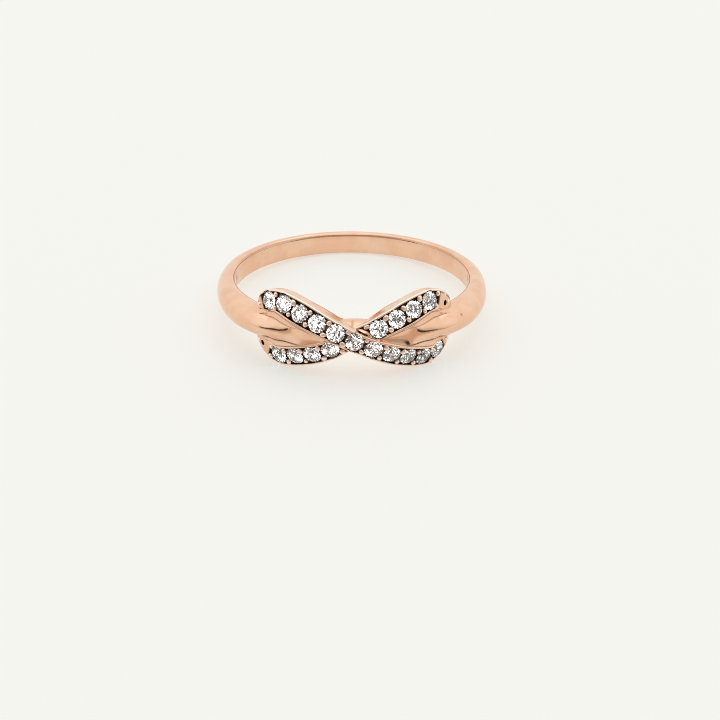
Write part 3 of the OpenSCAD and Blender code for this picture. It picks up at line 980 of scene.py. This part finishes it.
def blend(tree, factor, a, b):
    """A colour between a and b, which are colours or sockets."""
    a, b = (v if isinstance(v, bpy.types.NodeSocket) else (*v, 1) for v in (a, b))
    return node(tree, "Mix", {"Factor": factor, "A": a, "B": b}, data_type="RGBA").outputs["Result"]


def value_between(tree, factor, a, b):
    """A value between a and b."""
    return node(tree, "Mix", {"Factor": factor, "A": a, "B": b}).outputs["Result"]


def map_range(tree, value, low, high, to_low=0.0, to_high=1.0):
    """A value taken softly from one range to another."""
    inputs = {"Value": value, "From Min": low, "From Max": high, "To Min": to_low, "To Max": to_high}
    return node(tree, "MapRange", inputs, interpolation_type="SMOOTHSTEP").outputs["Result"]


def calculate(tree, operation, a, b):
    """One step of arithmetic."""
    return node(tree, "Math", {0: a, 1: b}, operation=operation).outputs["Value"]


def object_place(tree):
    """A point's place on its piece."""
    return node(tree, "TexCoord").outputs["Object"]


def part_of(tree, vector, axis):
    """One part of a vector."""
    return node(tree, "SeparateXYZ", {"Vector": vector}).outputs[axis]


def noise(tree, place, scale, detail, roughness=0.5):
    """Soft noise from 0 to 1."""
    inputs = {"Vector": place, "Scale": scale, "Detail": detail, "Roughness": roughness}
    return node(tree, "TexNoise", inputs).outputs["Fac"]


def dark_cells(tree, place, scale):
    """1 in the dark ones among cells of random brightness."""
    cells = node(tree, "TexVoronoi", {"Vector": place, "Scale": scale}).outputs["Color"]
    return calculate(tree, "LESS_THAN", part_of(tree, cells, "X"), SPARKLE_DARK)


def new_group(name, inputs, outputs):
    """A shader node group, and its input and output nodes."""
    group = bpy.data.node_groups.new(name, "ShaderNodeTree")
    for key, (kind, default) in inputs.items():
        socket = group.interface.new_socket(key, in_out="INPUT", socket_type="NodeSocket" + kind)
        socket.default_value = default
    for key, kind in outputs.items():
        group.interface.new_socket(key, in_out="OUTPUT", socket_type="NodeSocket" + kind)
    return group, group.nodes.new("NodeGroupInput"), group.nodes.new("NodeGroupOutput")


def fine_marks_group():
    """Marks of polishing and wear: fine lines three ways and broad soft waves."""
    group, start, end = new_group(
        "fine_marks",
        {"Line Scale": ("Float", 9000.0), "Wave Scale": ("Float", 700.0), "Strength": ("Float", 0.5)},
        {"Lines": "Float", "Waves": "Float", "Height": "Float"},
    )
    place = object_place(group)
    lines = None
    for turn, stretch in ((0.4, 0.05), (1.5, 0.08), (2.6, 0.06)):
        inputs = {"Vector": place, "Rotation": (turn, turn * 0.7, turn), "Scale": (1, 1, stretch)}
        along = node(group, "Mapping", inputs).outputs["Vector"]
        line = map_range(group, noise(group, along, start.outputs["Line Scale"], 2.0), 0.60, 0.72)
        lines = line if lines is None else calculate(group, "MAXIMUM", lines, line)
    waves = noise(group, place, start.outputs["Wave Scale"], 3.0, 0.55)
    worn = calculate(group, "MULTIPLY", lines, start.outputs["Strength"])
    depth = calculate(group, "MULTIPLY", worn, -1.5e-6)
    swell = calculate(group, "MULTIPLY", waves, 1.4e-5)
    group.links.new(worn, end.inputs["Lines"])
    group.links.new(waves, end.inputs["Waves"])
    group.links.new(calculate(group, "ADD", depth, swell), end.inputs["Height"])
    return group


def painted_shade_group():
    """Painted shade: a mask of recesses, broken up by fine noise."""
    group, start, end = new_group(
        "crevice_dirt",
        {"Recess": ("Float", 0.0), "Scale": ("Float", 5000.0), "Patchiness": ("Float", 0.3)},
        {"Dirt": "Float"},
    )
    gaps = map_range(group, noise(group, object_place(group), start.outputs["Scale"], 3.0), 0.5, 0.75)
    gaps = calculate(group, "MULTIPLY", gaps, start.outputs["Patchiness"])
    kept = calculate(group, "SUBTRACT", 1.0, gaps)
    group.links.new(calculate(group, "MULTIPLY", start.outputs["Recess"], kept), end.inputs["Dirt"])
    return group


class RING_OT_finishes(bpy.types.Operator):
    """Make the rose gold, the stones and the floor"""

    bl_idname = "ring.finishes"
    bl_label = "Finishes"

    def execute(self, context):
        finish = context.scene.ring_finish
        self.rose_gold(finish, fine_marks_group(), painted_shade_group())
        self.clear_stone(finish)
        self.pale_floor(finish)
        return {"FINISHED"}

    def rose_gold(self, finish, marks_group, shade_tree):
        """Polished rose gold: redder in patches, with shade painted in its recesses and highlights painted on
        rims and beads.
        """
        tree, shader = new_material("rose_gold_polished")
        marks = node(tree, "Group", {"Strength": finish.wear}, node_tree=marks_group)
        recess = node(tree, "Attribute", attribute_name="recess").outputs["Fac"]
        burnish = node(tree, "Attribute", attribute_name="burnish").outputs["Fac"]
        patchy_shade = node(tree, "Group", {"Recess": recess}, node_tree=shade_tree).outputs["Dirt"]
        tint = map_range(tree, marks.outputs["Waves"], 0.35, 0.65)
        tint = blend(tree, tint, finish.gold, finish.gold_warm)
        # Highlight painted on the rims and beads
        tint = blend(tree, burnish, tint, finish.gold_painted_highlight)
        # Patchy shade painted in the recesses
        tint = blend(tree, patchy_shade, tint, finish.gold_painted_shade)
        tree.links.new(tint, shader.inputs["Base Color"])
        shader.inputs["Metallic"].default_value = 1.0
        rough = map_range(tree, marks.outputs["Waves"], 0.3, 0.7, finish.polish * 0.8, finish.polish * 1.25)
        rough = calculate(tree, "ADD", rough, calculate(tree, "MULTIPLY", marks.outputs["Lines"], 0.08))
        rough = calculate(tree, "ADD", rough, calculate(tree, "MULTIPLY", patchy_shade, 0.3))
        tree.links.new(rough, shader.inputs["Roughness"])
        bump = node(tree, "Bump", {"Height": marks.outputs["Height"], "Distance": 1.0, "Strength": 1.0})
        tree.links.new(bump.outputs["Normal"], shader.inputs["Normal"])

    def clear_stone(self, finish):
        """Clear cut stone, with the faintest clouds."""
        tree, shader = new_material("clear_stone")
        clouds = map_range(tree, noise(tree, object_place(tree), 1500.0, 2.0), 0.45, 0.7)
        tint = blend(tree, clouds, finish.stone, finish.stone_shade)
        tree.links.new(tint, shader.inputs["Base Color"])
        shader.inputs["Metallic"].default_value = 0.0
        shader.inputs["Roughness"].default_value = 0.0
        shader.inputs["IOR"].default_value = 2.42
        shader.inputs["Specular IOR Level"].default_value = 0.4
        shader.inputs["Transmission Weight"].default_value = 1.0

    def pale_floor(self, finish):
        """Matt pale paper, painted bright with dark cells where seen through a stone, and painted dim where
        mirrored in front, for a dark reflection.
        """
        tree, shader = new_material("pale_floor")
        place = object_place(tree)
        paper = blend(tree, noise(tree, place, 900.0, 4.0), finish.floor, [c * 0.985 for c in finish.floor])
        rays = node(tree, "LightPath").outputs
        # Light and dark cells painted on the floor, seen only through a stone
        through = rays["Is Transmission Ray"]
        glow = blend(tree, through, GLOW_TINT, GLOW_THROUGH)
        dark = calculate(tree, "MULTIPLY", dark_cells(tree, place, FLOOR_CELLS), through)
        # Dark reflection painted on the front part, seen only as mirrored
        front = map_range(tree, part_of(tree, place, "Y"), FRONT_FROM, FRONT_TO)
        mirrored = calculate(tree, "MULTIPLY", front, rays["Is Glossy Ray"])
        for mask, shade, glimmer in ((dark, (0.02,) * 3, (0.0,) * 3), (mirrored, PAINTED_DARK_REFLECTION, PAINTED_DARK_REFLECTION)):
            paper, glow = blend(tree, mask, paper, shade), blend(tree, mask, glow, glimmer)
        tree.links.new(paper, shader.inputs["Base Color"])
        tree.links.new(glow, shader.inputs["Emission Color"])
        shader.inputs["Roughness"].default_value = 0.8
        shader.inputs["Specular IOR Level"].default_value = 0.2
        shader.inputs["Emission Strength"].default_value = FLOOR_GLOW


class RING_OT_stones(bpy.types.Operator):
    """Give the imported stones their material"""

    bl_idname = "ring.stones"
    bl_label = "Stones"

    def execute(self, context):
        for name, o in frame["nodes"].items():
            if "stone" in name:
                o.data.materials.clear()
                o.data.materials.append(bpy.data.materials["clear_stone"])
        return {"FINISHED"}


# Soft boxes and dark cards all round, in degrees but for the brightness.
# Columns: turn round the ring from the camera, height, half width, soft edge, brightness
STUDIO = (
    (0, 8, 42, 34, 0.45),
    (-62, 10, 5, 6, 0.05),
    (56, 5, 5, 6, 0.05),
    (170, 64, 12, 16, 1.35),
    (-150, 62, 10, 14, 1.25),
    (20, 76, 8, 12, 1.5),
)
SKY_LOW, SKY_HIGH = 0.94, 1.06
AIR, FRONT_AIR = (1.0, 0.99, 0.975), (1.0, 0.95, 0.91)

# Camera: angles in degrees by the ring's own axis, distance and sensor in millimetres, and in pixels the
# picture's side, the focal length and where the ring's centre lands
CAMERA_LIFT = 21.66
CAMERA_YAW = 1.2
CAMERA_ROLL = -0.37
CAMERA_AWAY = 130.0
PICTURE = 720
FOCAL_PIXELS = 1754.0
CENTRE_AT = (351.2, 284.3)
SENSOR = 36.0


def camera_matrix():
    """The photograph's viewpoint, with the ring's centre off the middle."""
    pose = resting_pose()
    lift, yaw = math.radians(CAMERA_LIFT), math.radians(CAMERA_YAW)
    back = Vector((-math.cos(lift) * math.sin(yaw), -math.cos(lift) * math.cos(yaw), math.sin(lift)))
    right = Vector((0, 0, 1)).cross(back).normalized()
    up = back.cross(right)
    place = Matrix((right, up, back)).transposed().to_4x4()
    place.translation = back * CAMERA_AWAY
    dx, dy = CENTRE_AT[0] - PICTURE / 2, PICTURE / 2 - CENTRE_AT[1]
    aim = Matrix.Rotation(math.atan2(dx, FOCAL_PIXELS), 4, "Y")
    aim = aim @ Matrix.Rotation(-math.atan2(dy, FOCAL_PIXELS), 4, "X")
    roll = Matrix.Rotation(math.radians(-CAMERA_ROLL), 4, "Z")
    full = pose @ place @ aim @ roll
    return Matrix.LocRotScale(full.to_translation(), full.to_quaternion(), None)


def studio_air():
    """Soft light from all round, with a few brighter and darker places."""
    world = bpy.data.worlds.new("studio_air")
    world.use_nodes = True
    tree = world.node_tree
    background = tree.nodes["Background"]
    way = node(tree, "TexCoord").outputs["Generated"]
    light = map_range(tree, part_of(tree, way, "Z"), 0.0, 0.9, SKY_LOW, SKY_HIGH)
    for turn, lift, half, soft, value in STUDIO:
        a, b = math.radians(turn - 90), math.radians(lift)
        aim = (math.cos(a) * math.cos(b), math.sin(a) * math.cos(b), math.sin(b))
        near = node(tree, "VectorMath", {0: way, 1: aim}, operation="DOT_PRODUCT").outputs["Value"]
        edge, core = math.cos(math.radians(half + soft)), math.cos(math.radians(half))
        light = value_between(tree, map_range(tree, near, edge, core), light, value)
    sparkle = value_between(tree, dark_cells(tree, way, SPARKLE_SCALE), SPARKLE_BRIGHT, 0.01)
    through = node(tree, "LightPath").outputs["Is Transmission Ray"]
    tree.links.new(value_between(tree, through, light, sparkle), background.inputs["Strength"])
    front = map_range(tree, part_of(tree, way, "Y"), -0.3, -0.9)
    tree.links.new(blend(tree, front, AIR, FRONT_AIR), background.inputs["Color"])
    return world


class RING_OT_studio(bpy.types.Operator):
    """Set the floor, the soft lights and the camera"""

    bl_idname = "ring.studio"
    bl_label = "Studio"

    def execute(self, context):
        scene = context.scene
        clear_selection()
        low = (0, 0, CAD_BOX[0][2])
        bpy.ops.mesh.primitive_grid_add(x_subdivisions=4, y_subdivisions=4, size=FLOOR_SIZE, location=low)
        floor = named("floor")
        floor.data.materials.append(bpy.data.materials["pale_floor"])

        scene.world = studio_air()

        camera = bpy.data.cameras.new("camera")
        camera.sensor_width = SENSOR
        camera.lens = FOCAL_PIXELS / PICTURE * SENSOR
        camera.clip_start, camera.clip_end = 0.005, 10
        o = bpy.data.objects.new("camera", camera)
        scene.collection.objects.link(o)
        o.matrix_world = camera_matrix()
        scene.camera = o
        scene.view_settings.view_transform = "Standard"
        scene.cycles.max_bounces = 24
        scene.cycles.glossy_bounces = 20
        scene.cycles.transmission_bounces = 24
        scene.cycles.blur_glossy = 0.0
        scene.cycles.filter_width = 1.0
        return {"FINISHED"}


class RING_PT_panel(bpy.types.Panel):
    """Lists the ring's pieces and sizes"""

    bl_label = "Infinity Ring"
    bl_idname = "RING_PT_panel"
    bl_space_type = "VIEW_3D"
    bl_region_type = "UI"
    bl_category = "Ring"

    def draw(self, context):
        for step in STEPS:
            self.layout.operator(step.bl_idname)
        for group in (context.scene.ring_sizes, context.scene.ring_setting, context.scene.ring_finish):
            box = self.layout.box()
            for name in names_of(group):
                box.prop(group, name)


GROUPS = {"ring_sizes": RingSizes, "ring_setting": SettingSizes, "ring_finish": Finish}
STEPS = (RING_OT_finishes, RING_OT_band, RING_OT_strands, RING_OT_beads, RING_OT_stones, RING_OT_studio)


def register():
    for group in GROUPS.values():
        bpy.utils.register_class(group)
    for step in (*STEPS, RING_PT_panel):
        bpy.utils.register_class(step)
    for name, group in GROUPS.items():
        setattr(bpy.types.Scene, name, PointerProperty(type=group))


def unregister():
    for name in GROUPS:
        delattr(bpy.types.Scene, name)
    for step in (RING_PT_panel, *reversed(STEPS)):
        bpy.utils.unregister_class(step)
    for group in reversed(list(GROUPS.values())):
        bpy.utils.unregister_class(group)


def main():
    register()
    for step in STEPS:
        family, name = step.bl_idname.split(".")
        getattr(getattr(bpy.ops, family), name)()


if __name__ == "__main__":
    main()
